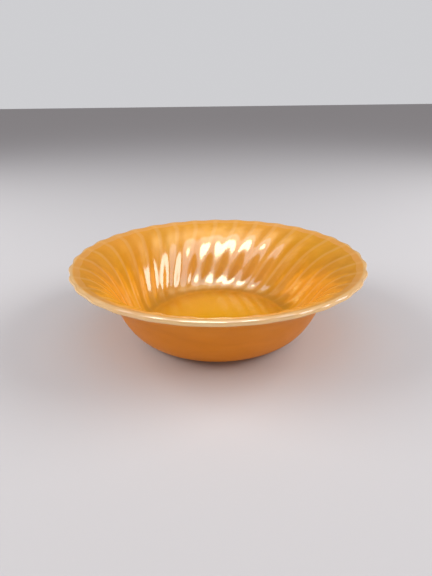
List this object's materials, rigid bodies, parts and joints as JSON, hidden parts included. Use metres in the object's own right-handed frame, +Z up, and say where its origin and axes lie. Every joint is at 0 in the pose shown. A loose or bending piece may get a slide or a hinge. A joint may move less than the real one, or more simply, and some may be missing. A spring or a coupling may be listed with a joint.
{
  "type": "carnival glass bowl",
  "caption": "Round pressed-glass serving bowl with swirled ribs inside, a scalloped flared rim, a smooth outside and an amber lustre finish.",
  "frame": {"origin": "centre of the footprint, on the plane that the foot rests on", "axes": "+Z up along the bowl's axis, +X through the tip of a scallop, +Y away from the viewer"},
  "size_m": [0.216, 0.216, 0.058],
  "materials": {
    "milk_glass": "opaque white pressed glass, fire polished",
    "inside_film": "iridescent peach-amber fired-on lustre, glossy",
    "rim_film": "thin pale lustre on the rounded rim, glossy",
    "outside_film": "satin amber fired-on lustre",
    "base_film": "thin amber lustre in the hollow under the base"
  },
  "bodies": {
    "root": {"glass_body": "milk_glass", "inside_lustre": "inside_film", "rim_lustre": "rim_film", "outside_lustre": "outside_film", "base_lustre": "base_film"}
  },
  "joints": []
}
